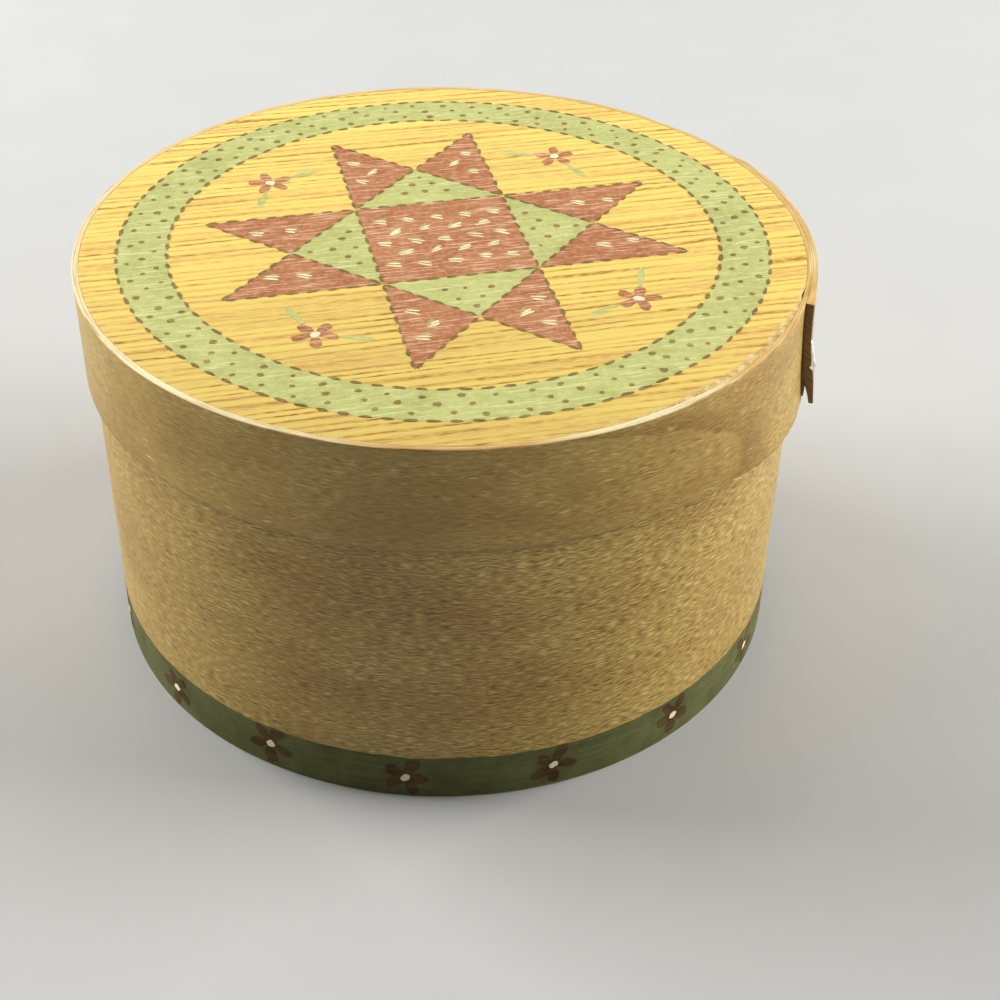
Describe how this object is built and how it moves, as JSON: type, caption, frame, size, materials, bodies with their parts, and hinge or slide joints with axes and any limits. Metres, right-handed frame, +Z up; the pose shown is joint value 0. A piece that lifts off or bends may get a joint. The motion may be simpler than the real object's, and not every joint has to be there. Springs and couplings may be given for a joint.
{
  "type": "round bentwood box",
  "caption": "Round wooden box of bent veneer with a lift-off lid, a lapped and stapled lid rim, a painted patchwork lid board and a painted green stripe at its foot.",
  "frame": {"origin": "centre of the underside of the bottom board, on the axis of the round side", "axes": "+Z up along the axis of the box, +X to the right of the front, where the end of the rim's lap lies, and -Y towards the front"},
  "size_m": [0.1814, 0.1798, 0.104],
  "materials": {
    "side_veneer": "satin varnish",
    "lid_veneer": "satin varnish",
    "bottom_ply": "bare",
    "staple_steel": "bright wire",
    "pin_steel": "bright wire",
    "green_paint": "brushed acrylic paint",
    "red_paint": "brushed acrylic paint",
    "brown_paint": "brushed acrylic paint",
    "cream_paint": "brushed acrylic paint"
  },
  "bodies": {
    "box": {"body_band": "side_veneer", "bottom_disc": "bottom_ply", "body_lap_staples": "staple_steel", "bottom_pins": "pin_steel"},
    "lid": {"lid_band": "side_veneer", "lid_disc": "lid_veneer", "lid_lap_staples": "staple_steel", "lid_pins": "pin_steel"}
  },
  "joints": [
    {"name": "lid_lift", "type": "slide", "parent": "box", "child": "lid", "axis": [0, 0, 1], "range_m": [0, 0.08]}
  ]
}
